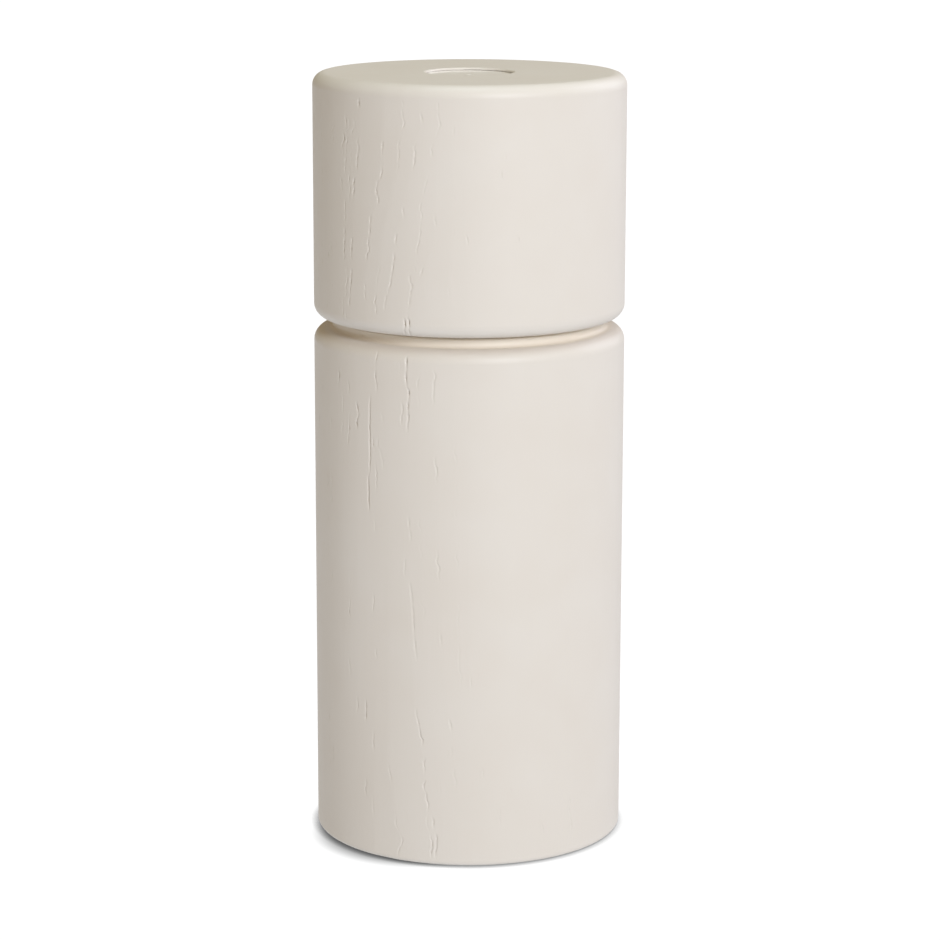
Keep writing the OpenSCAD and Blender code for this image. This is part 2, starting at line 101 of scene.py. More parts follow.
def turned_profile(corners, closed):
    """Profile (r, z) of a turned piece, and whether each run of it is bare wood. Each corner is (r, z,
    rounding, arc steps, step of the run after it, bare). An arc that is tangent to both runs takes the
    corner's place, the run after it is cut into even lengths of about its step, and one row stands close
    to each end of an arc."""
    count = len(corners)
    groups = []
    for i, (r, z, rounding, arc_steps, _, _) in enumerate(corners):
        corner = np.array((r, z), float)
        if rounding == 0:
            groups.append(corner[None, :])
            continue
        before = np.array(corners[i - 1][:2], float) - corner
        after = np.array(corners[(i + 1) % count][:2], float) - corner
        before /= np.linalg.norm(before)
        after /= np.linalg.norm(after)
        half = 0.5 * math.acos(float(before @ after))
        reach = rounding / math.tan(half)
        turn = math.pi - 2 * half
        middle = corner + (before + after) / np.linalg.norm(before + after) * rounding / math.sin(half)
        share = np.linspace(0, 1, arc_steps + 1)[:, None]
        first = corner + before * reach - middle
        last = corner + after * reach - middle
        arc = middle + (np.sin((1 - share) * turn) * first + np.sin(share * turn) * last) / math.sin(turn)
        enter = corner + before * (reach + edge_support)
        leave = corner + after * (reach + edge_support)
        groups.append(np.vstack((enter, arc, leave)))
    points = []
    bare = []
    for i, group in enumerate(groups):
        step, is_bare = corners[i][4:]
        points.append(group)
        bare.append(np.full(len(group), is_bare))
        if i < count - 1 or closed:
            goal = groups[(i + 1) % count][0]
            cuts = max(1, round(float(np.linalg.norm(goal - group[-1])) / step))
            share = np.linspace(0, 1, cuts + 1)[1:-1, None]
            points.append(group[-1] + share * (goal - group[-1]))
            bare.append(np.full(cuts - 1, is_bare))
    return np.vstack(points), np.concatenate(bare)


# The grain runs up the mill and on into the cap, and the ash's open pores lie along it in broken chains.
# The chains on the front are placed one by one, from left to right. Each gives the half width of its pores,
# then its pores from the top down: the heights of the top and the foot, the arcs there, counted in mm to
# the right from the front's middle, and the depth.
pore_chains = (
    (0.28, (
        (154.5, 151.5, -28.4, -27.9, 0.20), (151.0, 149.0, -29.2, -28.8, 0.32),
        (148.5, 146.5, -29.3, -29.3, 0.23), (141.0, 139.0, -30.0, -29.4, 0.23),
        (102.0, 99.0, -31.4, -31.5, 0.47))),
    (0.28, (
        (157.5, 156.0, -24.3, -24.1, 0.30), (149.5, 143.0, -24.7, -25.0, 0.22),
        (142.5, 137.5, -25.4, -26.2, 0.31), (129.5, 125.5, -26.7, -26.6, 0.27),
        (123.0, 118.5, -26.8, -27.3, 0.30), (118.0, 115.5, -27.4, -27.5, 0.23),
        (96.0, 93.6, -25.3, -25.0, 0.44), (93.3, 91.2, -25.2, -25.4, 0.47),
        (33.5, 30.0, -25.8, -25.9, 0.20))),
    (0.25, (
        (150.0, 147.0, -18.1, -18.3, 0.23), (145.0, 142.0, -18.3, -19.1, 0.21),
        (141.5, 137.0, -19.8, -19.4, 0.25), (134.5, 130.5, -21.4, -21.7, 0.23),
        (130.0, 125.5, -21.9, -22.3, 0.23), (120.5, 117.5, -23.0, -22.6, 0.14),
        (97.5, 82.0, -21.7, -21.9, 0.29), (81.0, 74.0, -22.2, -22.1, 0.34),
        (33.5, 29.0, -23.2, -23.4, 0.34), (16.0, 12.5, -23.5, -23.3, 0.23))),
    (0.25, (
        (155.5, 153.5, -9.7, -9.3, 0.15), (149.0, 144.5, -11.1, -11.3, 0.26),
        (136.5, 135.0, -13.7, -13.4, 0.14), (132.0, 128.5, -14.9, -15.2, 0.21),
        (127.0, 123.6, -15.7, -16.1, 0.26), (123.2, 120.5, -16.4, -16.8, 0.28),
        (120.0, 115.5, -17.3, -17.9, 0.15), (95.0, 93.0, -18.6, -18.7, 0.14),
        (89.5, 87.5, -19.7, -19.7, 0.14), (86.5, 83.0, -18.7, -18.5, 0.14),
        (45.0, 43.0, -20.2, -20.2, 0.21), (26.5, 23.0, -21.1, -21.1, 0.21),
        (12.0, 9.0, -21.4, -21.4, 0.15))),
    (0.23, (
        (19.5, 17.5, -17.3, -16.9, 0.21), (9.0, 7.5, -15.5, -15.4, 0.14),
        (5.0, 1.5, -14.2, -15.2, 0.21))),
    (0.23, (
        (115.0, 110.5, -13.7, -13.4, 0.50), (105.5, 103.0, -14.4, -14.4, 0.08),
        (97.0, 92.5, -14.1, -13.9, 0.25), (64.5, 61.5, -13.3, -13.3, 0.15),
        (32.5, 29.5, -10.8, -10.4, 0.32), (29.0, 25.5, -10.1, -9.8, 0.36),
        (23.0, 20.0, -9.2, -9.1, 0.31), (18.0, 16.3, -9.1, -9.3, 0.39),
        (15.0, 12.2, -8.7, -8.6, 0.39), (9.8, 8.4, -8.6, -8.6, 0.39),
        (6.0, 2.0, -7.6, -7.7, 0.45))),
    (0.27, (
        (123.0, 119.0, -12.2, -11.8, 0.21), (118.5, 116.0, -12.2, -12.5, 0.15),
        (115.2, 110.5, -12.7, -12.4, 0.53), (107.0, 104.5, -12.9, -12.7, 0.48),
        (104.2, 101.2, -12.9, -12.8, 0.50), (101.0, 98.0, -12.7, -12.6, 0.50),
        (97.6, 95.8, -12.5, -12.7, 0.48), (95.5, 92.0, -12.9, -12.8, 0.46),
        (74.0, 71.5, -13.0, -12.9, 0.21), (71.0, 69.0, -12.4, -12.3, 0.15),
        (59.5, 55.6, -13.1, -12.8, 0.25), (55.3, 48.8, -11.8, -12.1, 0.26),
        (48.5, 46.4, -11.8, -11.6, 0.34), (46.0, 44.0, -11.6, -11.7, 0.15),
        (9.8, 8.4, -7.6, -7.6, 0.36), (6.3, 2.0, -6.7, -6.8, 0.47))),
    (0.25, (
        (135.5, 133.5, -6.9, -6.7, 0.14), (125.0, 123.0, -9.2, -9.8, 0.15),
        (104.0, 97.5, -7.1, -7.3, 0.21), (86.0, 81.5, -7.0, -6.5, 0.26),
        (66.5, 61.5, -6.4, -6.1, 0.23), (49.5, 47.0, -5.7, -5.6, 0.15),
        (32.0, 28.5, -4.2, -3.4, 0.23), (25.0, 23.5, -3.6, -3.5, 0.15),
        (20.5, 17.5, -2.8, -2.7, 0.14))),
    (0.21, (
        (131.5, 129.5, -0.7, -0.3, 0.14), (40.5, 38.5, 0.4, 0.5, 0.14),
        (21.5, 19.0, 2.6, 2.8, 0.11))),
    (0.21, (
        (147.5, 146.0, 7.0, 7.0, 0.11), (144.5, 142.5, 6.5, 6.6, 0.14),
        (17.0, 15.5, 8.6, 8.6, 0.15), (12.0, 8.5, 6.4, 6.8, 0.14))),
    (0.21, (
        (130.8, 129.5, 9.7, 9.7, 0.21), (8.0, 6.5, 15.7, 16.2, 0.21))),
    (0.21, (
        (12.5, 9.0, 22.8, 23.1, 0.15), (8.0, 5.5, 23.3, 23.5, 0.15))),
)
# Lanes of fine pores go round the rest. They are tried this far apart, each with a stray to either side,
# and keep clear of the seam at the back and of the chains.
fine_pitch = 2.3
fine_stray = 0.5
seam_room = 1.0
fine_room = 1.3
# A lane's pores: how many, the height up to which they start, and their length, half width and depth
fine_count = 18
fine_top = 157.0
fine_length = (1.2, 4.5)
fine_half_width = 0.22
fine_depth = (0.05, 0.23)
# They lie closer together the higher up the mill: their heights are an even spread raised to this power
fine_rise = 0.6
# The pores are thick where the saw left the rings flat: at this angle from the front's middle, in radians,
# and opposite. The share of lanes that is kept is given for the thin sides and the thick ones, and the depth
# of the pores falls to the last share on the thin sides.
thick_side = -0.8
lanes_kept = (0.1, 0.85)
shallow_share = 0.15
# A long pore runs on almost straight. A shorter one is broken into beads, at a distance drawn for each pore:
# it closes between them and each steps to the side. Both values are for short pores, then for long ones.
long_pore = 6.8
bead_pitch = (1.4, 2.4)
bead_close = (1.1, 0.35)
bead_step = (0.2, 0.04)
# The steps follow a sine, in radians: how far it turns from bead to bead, and how far its start may differ
bead_turn = 2.4
bead_spread = 9.0
# A pore tapers over about a fifth of its length at both ends
taper_rate = 6.0
# Each lane wavers: how far to either side, in how many mm of height it turns a radian, and how many radians
# it is ahead of the lane on its left
waver_wide = 0.1
waver_long = 2.3
waver_turn = 1.7
girth = 2 * math.pi * mill_r
# The lanes are put in order by where they stand at this height
home_z = 60.0
seed = np.random.default_rng(11)

# Seven columns of points cross each lane, placed in half widths: five as a shallow V, and one beside it on
# both sides that keeps the wall next to it even. Even columns, about a step apart, fill the room between.
across = np.array((-1.7, -1.2, -0.6, 0, 0.6, 1.2, 1.7))
across_sink = np.array((0, 0, 0.5, 1, 0.5, 0, 0))
lane_gap = 0.06
fill_step = 1.9
# The chains' pull on the grain beside them ends this far outside the first and the last of them
pull_reach = 9.0


def kept_apart(lines, half):
    """Arcs of the lanes, each at least its flank and its neighbour's from the lane on its left: the running
    maximum of the arcs less the room that all the lanes before take up, with that room added again."""
    room = np.concatenate(([0], np.cumsum(across[-1] * (half[1:] + half[:-1]) + lane_gap)))
    return np.maximum.accumulate(lines - room, axis=-1) + room


def chain_lines(z):
    """Arcs of the chains at heights z, one row a height and one column a chain: straight from end to end of
    their pores, and level above the first and below the last."""
    lines = []
    for _, pores in pore_chains:
        ends = [end for top, foot, top_arc, foot_arc, _ in pores
                for end in ((top, top_arc), (foot, foot_arc))]
        heights, arcs = np.array(ends)[::-1].T
        lines.append(np.interp(z, heights, arcs))
    return np.stack(lines, axis=-1)


chain_half = np.array([half for half, _ in pore_chains])
chain_home = kept_apart(chain_lines(home_z), chain_half)
tried = np.arange(-girth / 2 + seam_room, girth / 2 - seam_room, fine_pitch)
tried = tried + seed.uniform(-fine_stray, fine_stray, len(tried))
thickness = 0.5 + 0.5 * np.cos(2 * (tried / mill_r - thick_side))
lone = np.abs(tried[:, None] - chain_home).min(axis=1) > fine_room
kept_share = lanes_kept[0] + (lanes_kept[1] - lanes_kept[0]) * thickness
chosen = lone & (seed.random(len(tried)) < kept_share)
fine_home = tried[chosen]
fine_share = shallow_share + (1 - shallow_share) * thickness[chosen] ** 2
anchors = np.concatenate(([chain_home[0] - pull_reach], chain_home, [chain_home[-1] + pull_reach]))
pull = np.stack([np.interp(fine_home, anchors, row) for row in np.eye(len(anchors))[1:-1]])
lane_order = np.argsort(np.concatenate((chain_home, fine_home)))
lane_half = np.concatenate((chain_half, np.full(len(fine_home), fine_half_width)))[lane_order]
rank = np.argsort(lane_order)

# Every pore as arrays: its lane, its two heights, its depth, and its beads' start and distance
chain_pores = np.array([(lane, foot, top, depth) for lane, (_, pores) in enumerate(pore_chains)
                        for top, foot, _, _, depth in pores])
fine_low = fine_top * seed.uniform(0, 1, (len(fine_home), fine_count)) ** fine_rise
fine_high = fine_low + seed.uniform(*fine_length, fine_low.shape)
fine_deep = seed.uniform(*fine_depth, fine_low.shape) * fine_share[:, None]
fine_lane = np.broadcast_to(np.arange(len(fine_home))[:, None] + len(pore_chains), fine_low.shape)
pore_lane = rank[np.concatenate((chain_pores[:, 0], fine_lane.ravel())).astype(int)]
pore_low = np.concatenate((chain_pores[:, 1], fine_low.ravel()))
pore_high = np.concatenate((chain_pores[:, 2], fine_high.ravel()))
pore_deep = np.concatenate((chain_pores[:, 3], fine_deep.ravel()))
pore_member = pore_lane[:, None] == np.arange(len(lane_order))
runs_on = pore_high - pore_low > long_pore
pore_close = np.where(runs_on, bead_close[1], bead_close[0])
pore_step = np.where(runs_on, bead_step[1], bead_step[0])
bead_start = seed.uniform(0, 1, len(pore_lane))
bead_apart = seed.uniform(*bead_pitch, len(pore_lane))


def grain_lines(z):
    """Arc of every lane at heights z, one row a height and one column a lane. A fine lane is carried
    sideways with the chains on both sides of it, in proportion to how near they are. Each lane wavers as a
    sine of the height, and inside a pore it steps aside by a sine of the bead's number."""
    chains = chain_lines(z)
    fine = fine_home + (chains - chain_home) @ pull
    lines = np.concatenate((chains, fine), axis=1)[:, lane_order]
    lane = np.arange(len(lane_order))
    waver = waver_wide * np.sin(z[:, None] / waver_long + waver_turn * lane)
    inside = (z[:, None] > pore_low) & (z[:, None] < pore_high)
    bead = np.floor(z[:, None] / bead_apart + bead_start)
    aside = np.sin(bead_turn * bead + bead_spread * bead_start)
    steps = (inside * pore_step * aside) @ pore_member
    return kept_apart(lines + waver + steps, lane_half)


home = grain_lines(np.array([home_z]))[0]
room = np.append(home[1:], home[0] + girth) - home - across[-1] * (lane_half + np.roll(lane_half, -1))
fill_count = (room / fill_step).astype(int)
fill_lane = np.repeat(np.arange(len(home)), fill_count)
fill_share = np.concatenate([np.arange(1, count + 1) / (count + 1) for count in fill_count])
column_lane = np.concatenate((np.repeat(np.arange(len(home)), len(across)), fill_lane))
column_sink = np.concatenate((np.tile(across_sink, len(home)), np.zeros(len(fill_lane))))
column_place = np.concatenate((np.tile(np.arange(len(across)), len(home)), len(across) + fill_share))
column_order = np.lexsort((column_place, column_lane))
column_lane = column_lane[column_order]
column_sink = column_sink[column_order]


def column_arc(z):
    """Arc of every column of points at heights z: those of a lane keep their distance from its line, and
    those between two lanes divide the room from flank to flank evenly."""
    lanes = grain_lines(z)[:, :, None] + across * lane_half[:, None]
    right = lanes[:, :, -1]
    left = np.roll(lanes[:, :, 0], -1, axis=1)
    left[:, -1] += girth
    fill = right[:, fill_lane] + fill_share * (left - right)[:, fill_lane]
    return np.concatenate((lanes.reshape(len(z), -1), fill), axis=1)[:, column_order]


def pore_depth(z):
    """Depth in mm of the pores at heights z, one row a height and one column a lane. A pore deepens from
    nothing at both ends as the root of a parabola, and a cosine along it closes it between its beads."""
    along = np.clip((z[:, None] - pore_low) / (pore_high - pore_low), 0, 1)
    taper = np.sqrt(np.clip(taper_rate * along * (1 - along), 0, 1))
    between = 0.5 + 0.5 * np.cos(2 * math.pi * (z[:, None] / bead_apart + bead_start))
    beads = np.clip(1 - pore_close * between, 0, 1)
    return (pore_deep * taper * beads) @ pore_member


def turned_grid(profile, bare, closed):
    """Points in mm of a turned piece, rows by columns, and the depth of the pores there. A column's angle is
    its arc over the mill's radius, and a point sinks along the profile's normal by its pore's depth, in full
    on a wall that faces outwards and not at all on a flat top or a bare run."""
    ahead = np.roll(profile, -1, axis=0)
    behind = np.roll(profile, 1, axis=0)
    if not closed:
        ahead[-1] = profile[-1]
        behind[0] = profile[0]
    along = ahead - behind
    normal = np.stack((along[:, 1], -along[:, 0]), axis=1)
    normal /= np.linalg.norm(normal, axis=1)[:, None]
    r, z = profile.T
    facing = np.clip(normal[:, 0], 0, 1) ** 2 * (1 - bare)
    sink = pore_depth(z)[:, column_lane] * column_sink * facing[:, None]
    angle = column_arc(z) / mill_r
    out = r[:, None] - sink * normal[:, :1]
    up = z[:, None] - sink * normal[:, 1:]
    return np.stack((out * np.sin(angle), -out * np.cos(angle), up), axis=2), sink


def grid_piece(name, grid, closed, ends=()):
    """An object from a grid of points in mm, rows by columns, whose columns run round and meet again. A
    closed grid's last row meets its first; otherwise the two end points close the first and the last row
    as fans."""
    rows, columns = grid.shape[:2]
    points = np.vstack((grid.reshape(-1, 3), np.reshape(ends, (-1, 3)))) * mm
    here = np.arange(columns)
    beside = (here + 1) % columns
    row = np.arange(rows if closed else rows - 1)[:, None]
    above = (row + 1) % rows
    corners = (row * columns + here, row * columns + beside,
               above * columns + beside, above * columns + here)
    quads = np.stack(corners, axis=-1).reshape(-1, 4)
    loops = [quads.ravel()]
    sizes = [np.full(len(quads), 4)]
    if len(ends):
        last = (rows - 1) * columns
        foot = np.stack((np.full(columns, rows * columns), beside, here), axis=1)
        head = np.stack((last + here, last + beside, np.full(columns, rows * columns + 1)), axis=1)
        loops += [foot.ravel(), head.ravel()]
        sizes += [np.full(2 * columns, 3)]
    loops = np.concatenate(loops)
    sizes = np.concatenate(sizes)
    mesh = bpy.data.meshes.new(name)
    mesh.vertices.add(len(points))
    mesh.vertices.foreach_set("co", points.ravel())
    mesh.loops.add(len(loops))
    mesh.loops.foreach_set("vertex_index", loops)
    mesh.polygons.add(len(sizes))
    mesh.polygons.foreach_set("loop_start", np.cumsum(sizes) - sizes)
    mesh.update(calc_edges=True)
    mesh.validate()
    mesh.shade_smooth()
    piece = bpy.data.objects.new(name, mesh)
    bpy.context.scene.collection.objects.link(piece)
    return piece


def linear(colour):
    """An sRGB hex colour as linear red, green, blue and one, by the curve of the sRGB standard."""
    share = np.array([int(colour[i:i + 2], 16) for i in (1, 3, 5)]) / 255
    flat = np.where(share <= 0.04045, share / 12.92, ((share + 0.055) / 1.055) ** 2.4)
    return (*flat.tolist(), 1.0)


def add_node(tree, kind, inputs=None, **settings):
    """One node of a material: its settings, and its inputs by name or number, each a value or a socket. A
    mix of colours has its factor at input 0, its two colours at 6 and 7, and its result at output 2."""
    made = tree.nodes.new(kind)
    for name, value in settings.items():
        setattr(made, name, value)
    for name, value in (inputs or {}).items():
        if isinstance(value, bpy.types.NodeSocket):
            tree.links.new(value, made.inputs[name])
        else:
            made.inputs[name].default_value = value
    return made


def start_material(name):
    """An empty material, its tree and the place on the piece in metres."""
    material = bpy.data.materials.new(name)
    material.use_nodes = True
    tree = material.node_tree
    tree.nodes.clear()
    return material, tree, add_node(tree, "ShaderNodeTexCoord").outputs["Object"]


# Painted ash: a thin satin coat of sprayed cream paint, so that the fine grain under it still shows as a
# faint ripple along the wood. The paint bridges no pore, and is a little darker and warmer inside the open
# ones, partly dirt and partly painted shade. In the groove it is paler and warmer: painted bounce light.
paint_cream = "#e3ded8"
paint_warm = "#dfd8d0"
# A paler, warmer cream for the groove: painted light bounced between the cap and the neck
painted_groove_bounce = "#e8dfd2"
# A darker, warmer cream inside the pores: partly dirt, partly painted shade
pore_dirt_and_shade = "#dfd9d1"
ripple_wide = 0.8
ripple_long = 16.0
ripple_high = 0.012
blotch_wide = 14.0
painted_ash, tree, place = start_material("painted_ash")
ripple_place = add_node(tree, "ShaderNodeMapping", {
    "Vector": place,
    "Scale": (1 / (ripple_wide * mm), 1 / (ripple_wide * mm), 1 / (ripple_long * mm))})
ripple = add_node(tree, "ShaderNodeTexNoise", {
    "Vector": ripple_place.outputs[0], "Scale": 1.0, "Detail": 3.0, "Roughness": 0.6})
blotch = add_node(tree, "ShaderNodeTexNoise", {
    "Vector": place, "Scale": 1 / (blotch_wide * mm), "Detail": 2.0})
coat = add_node(tree, "ShaderNodeMix", {
    0: blotch.outputs[0], 6: linear(paint_cream), 7: linear(paint_warm)}, data_type="RGBA")
# In the groove the coat turns paler and warmer: painted bounce light
groove = add_node(tree, "ShaderNodeAttribute", attribute_name="groove")
coat = add_node(tree, "ShaderNodeMix", {
    0: groove.outputs["Fac"], 6: coat.outputs[2], 7: linear(painted_groove_bounce)}, data_type="RGBA")
# Inside the pores the coat darkens and warms: partly dirt, partly painted shade
open_pore = add_node(tree, "ShaderNodeAttribute", attribute_name="pore")
colour = add_node(tree, "ShaderNodeMix", {
    0: open_pore.outputs["Fac"], 6: coat.outputs[2], 7: linear(pore_dirt_and_shade)}, data_type="RGBA")
sheen = add_node(tree, "ShaderNodeMapRange", {"Value": ripple.outputs[0], "To Min": 0.42, "To Max": 0.56})
bump = add_node(tree, "ShaderNodeBump", {
    "Height": ripple.outputs[0], "Distance": ripple_high * mm, "Strength": 1.0})
shader = add_node(tree, "ShaderNodeBsdfPrincipled", {
    "Base Color": colour.outputs[2], "Roughness": sheen.outputs[0], "IOR": 1.48, "Normal": bump.outputs[0]})
add_node(tree, "ShaderNodeOutputMaterial", {"Surface": shader.outputs[0]})

# Bare ash: turned and sanded, pale tan, dry and matt, with darker lines of early wood along the grain
ash_pale = "#d8bf98"
ash_dark = "#b8936a"
ash_line = 1.6
ash_long = 40.0
ash_pore_high = 0.03
bare_ash, tree, place = start_material("bare_ash")
line_place = add_node(tree, "ShaderNodeMapping", {
    "Vector": place,
    "Scale": (1 / (ash_line * mm), 1 / (ash_line * mm), 1 / (ash_long * mm))})
lines = add_node(tree, "ShaderNodeTexNoise", {
    "Vector": line_place.outputs[0], "Scale": 1.0, "Detail": 4.0, "Roughness": 0.65, "Distortion": 0.4})
early_wood = add_node(tree, "ShaderNodeMapRange", {
    "Value": lines.outputs[0], "From Min": 0.35, "From Max": 0.7})
colour = add_node(tree, "ShaderNodeMix", {
    0: early_wood.outputs[0], 6: linear(ash_pale), 7: linear(ash_dark)}, data_type="RGBA")
dry = add_node(tree, "ShaderNodeMapRange", {"Value": lines.outputs[0], "To Min": 0.6, "To Max": 0.8})
bump = add_node(tree, "ShaderNodeBump", {
    "Height": lines.outputs[0], "Distance": ash_pore_high * mm, "Strength": 1.0})
shader = add_node(tree, "ShaderNodeBsdfPrincipled", {
    "Base Color": colour.outputs[2], "Roughness": dry.outputs[0], "IOR": 1.45, "Normal": bump.outputs[0]})
add_node(tree, "ShaderNodeOutputMaterial", {"Surface": shader.outputs[0]})

# A pore as deep as this shows its full darkening, partly dirt and partly painted shade
full_pore = 0.5
# The heights between which the groove lies, and the radii over which its painted bounce light grows inwards
groove_low, groove_high = 105.0, 113.5
bounce_from, bounce_to = 30.2, 28.8


def wooden_piece(name, grid, sink, bare, closed, ends=()):
    """A turned piece of painted wood: the grid's faces take the paint or the bare wood of their run, and
    each point carries its pore's depth as a share of a full one, and how far it lies in the groove."""
    piece = grid_piece(name, grid, closed, ends)
    mesh = piece.data
    mesh.materials.append(painted_ash)
    mesh.materials.append(bare_ash)
    columns = grid.shape[1]
    finish = np.repeat(bare if closed else bare[:-1], columns)
    fans = [] if closed else [np.full(columns, bare[0]), np.full(columns, bare[-1])]
    mesh.polygons.foreach_set("material_index", np.concatenate([finish, *fans]).astype(np.int32))
    # A point's pore depth sets the pore's dirt and painted shade
    share = np.zeros(len(mesh.vertices))
    share[:sink.size] = np.clip(sink.ravel() / full_pore, 0, 1)
    mesh.attributes.new("pore", "FLOAT", "POINT").data.foreach_set("value", share)
    r = np.hypot(grid[..., 0], grid[..., 1])
    z = grid[..., 2]
    # How far a point lies in the groove sets its painted bounce light
    inside = np.interp(r, (bounce_to, bounce_from), (1, 0)) * (z > groove_low) * (z < groove_high)
    bounce_share = np.zeros(len(mesh.vertices))
    bounce_share[:inside.size] = inside.ravel()
    mesh.attributes.new("groove", "FLOAT", "POINT").data.foreach_set("value", bounce_share)
    return piece


# From the well's rim outwards, up the wall, over the neck and the spigot and down the inside
body_profile, body_bare = turned_profile((
    (well_r, 0, edge_r, 2, 1.6, 0),
    (mill_r, 0, foot_r, 4, wall_step, 0),
    (mill_r, shoulder_z, shoulder_r, 8, 1, 0),
    (neck_r, shoulder_z, neck_root_r, 5, 0.7, 0),
    (neck_r, neck_top, edge_r, 3, 1, 0),
    (seat_out, neck_top, seat_edge_r, 2, 2, 1),
    (seat_out, seat_z, 0, 1, 4, 1),
    (seat_in, seat_z, 0, 1, 2, 1),
    (seat_in, neck_top, seat_edge_r, 2, 2, 1),
    (spigot_r, neck_top, 0, 1, 4, 1),
    (spigot_r, spigot_top - spigot_chamfer, edge_r, 2, 2, 1),
    (spigot_r - spigot_chamfer, spigot_top, edge_r, 2, 2, 1),
    (hopper_r, spigot_top, hopper_lip_r, 3, 12, 1),
    (hopper_r, bore_top, 0, 1, 2, 1),
    (bore_r, bore_top, 0, 1, 8, 1),
    (bore_r, well_depth, 0, 1, 8, 1),
    (well_r, well_depth, edge_r, 2, 5, 1)), closed=True)
body_grid, body_sink = turned_grid(body_profile, body_bare, closed=True)
body = wooden_piece("turned_body", body_grid, body_sink, body_bare, closed=True)
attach(body, "mill_body")
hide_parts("body")

# Glide ring and bearing bush
# A flat ring pressed into the neck, which the cap turns on, and a flanged bush in the grinder's hub.
# Both are turned from natural acetal rod.
acetal_white = "#ebe8df"
acetal_shade = "#e0dccf"
acetal_cloud = 3.0
turning_mark = 0.12
turning_long = 8.0
turning_high = 0.004


def dress(material, *names):
    """Puts a material on carried-over CAD nodes."""
    for name in names:
        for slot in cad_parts[name].material_slots:
            slot.material = material


# Natural acetal: milky white, a waxy satin from the fine marks of the tool that turned it or its mould
acetal, tree, place = start_material("natural_acetal")
cloud = add_node(tree, "ShaderNodeTexNoise", {
    "Vector": place, "Scale": 1 / (acetal_cloud * mm), "Detail": 2.0})
colour = add_node(tree, "ShaderNodeMix", {
    0: cloud.outputs[0], 6: linear(acetal_white), 7: linear(acetal_shade)}, data_type="RGBA")
mark_place = add_node(tree, "ShaderNodeMapping", {
    "Vector": place,
    "Scale": (1 / (turning_long * mm), 1 / (turning_long * mm), 1 / (turning_mark * mm))})
marks = add_node(tree, "ShaderNodeTexNoise", {"Vector": mark_place.outputs[0], "Scale": 1.0, "Detail": 1.0})
waxy = add_node(tree, "ShaderNodeMapRange", {"Value": marks.outputs[0], "To Min": 0.32, "To Max": 0.44})
bump = add_node(tree, "ShaderNodeBump", {
    "Height": marks.outputs[0], "Distance": turning_high * mm, "Strength": 1.0})
shader = add_node(tree, "ShaderNodeBsdfPrincipled", {
    "Base Color": colour.outputs[2], "Roughness": waxy.outputs[0], "IOR": 1.48, "Normal": bump.outputs[0]})
add_node(tree, "ShaderNodeOutputMaterial", {"Surface": shader.outputs[0]})
dress(acetal, "glide_ring", "bearing_bush")

# Grinder housing
# The barrel that holds the grinder together: a flange, four arms and the shaft's hub, moulded in one piece.
# It is pushed up into the body's bore and screwed on through its flange.
nylon_black = "#29292a"
nylon_fleck = "#3a3a3b"
fibre = 0.35
mould_grain = 0.18
mould_high = 0.015

# Glass-filled nylon: near black and dull, with short grey flecks of fibre and the fine grain of the mould
nylon, tree, place = start_material("glass_filled_nylon")
fleck = add_node(tree, "ShaderNodeTexNoise", {
    "Vector": place, "Scale": 1 / (fibre * mm), "Detail": 2.0, "Distortion": 1.5})
fibres = add_node(tree, "ShaderNodeMapRange", {
    "Value": fleck.outputs[0], "From Min": 0.55, "From Max": 0.75})
colour = add_node(tree, "ShaderNodeMix", {
    0: fibres.outputs[0], 6: linear(nylon_black), 7: linear(nylon_fleck)}, data_type="RGBA")
grain = add_node(tree, "ShaderNodeTexNoise", {
    "Vector": place, "Scale": 1 / (mould_grain * mm), "Detail": 1.0})
dull = add_node(tree, "ShaderNodeMapRange", {"Value": fleck.outputs[0], "To Min": 0.46, "To Max": 0.64})
bump = add_node(tree, "ShaderNodeBump", {
    "Height": grain.outputs[0], "Distance": mould_high * mm, "Strength": 1.0})
shader = add_node(tree, "ShaderNodeBsdfPrincipled", {
    "Base Color": colour.outputs[2], "Roughness": dull.outputs[0], "IOR": 1.53, "Normal": bump.outputs[0]})
add_node(tree, "ShaderNodeOutputMaterial", {"Surface": shader.outputs[0]})
dress(nylon, "grinder_housing")

# Retainer plate, screws, washers and clip
# The steel pieces: a pressed ring that holds the stator up, the wood screws, a washer and the shaft's clip.
# They are pressed or headed from sheet and wire and then zinc-plated.
zinc_bright = "#c3c5c6"
zinc_blue = "#a9afb6"
spangle = 1.5
rolling_mark = 0.2
rolling_long = 6.0
rolling_high = 0.003

# Zinc-plated steel: a cool grey mirror gone satin, faintly clouded, with fine marks from rolling
zinc_steel, tree, place = start_material("zinc_plated_steel")
cloud = add_node(tree, "ShaderNodeTexNoise", {"Vector": place, "Scale": 1 / (spangle * mm), "Detail": 3.0})
colour = add_node(tree, "ShaderNodeMix", {
    0: cloud.outputs[0], 6: linear(zinc_bright), 7: linear(zinc_blue)}, data_type="RGBA")
mark_place = add_node(tree, "ShaderNodeMapping", {
    "Vector": place,
    "Scale": (1 / (rolling_long * mm), 1 / (rolling_mark * mm), 1 / (rolling_mark * mm))})
marks = add_node(tree, "ShaderNodeTexNoise", {"Vector": mark_place.outputs[0], "Scale": 1.0, "Detail": 2.0})
satin = add_node(tree, "ShaderNodeMapRange", {"Value": marks.outputs[0], "To Min": 0.26, "To Max": 0.42})
bump = add_node(tree, "ShaderNodeBump", {
    "Height": marks.outputs[0], "Distance": rolling_high * mm, "Strength": 1.0})
shader = add_node(tree, "ShaderNodeBsdfPrincipled", {
    "Base Color": colour.outputs[2], "Metallic": 1.0, "Roughness": satin.outputs[0],
    "Normal": bump.outputs[0]})
add_node(tree, "ShaderNodeOutputMaterial", {"Surface": shader.outputs[0]})
dress(zinc_steel, "retainer_plate", "housing_screws", "thrust_washer", "shaft_clip")

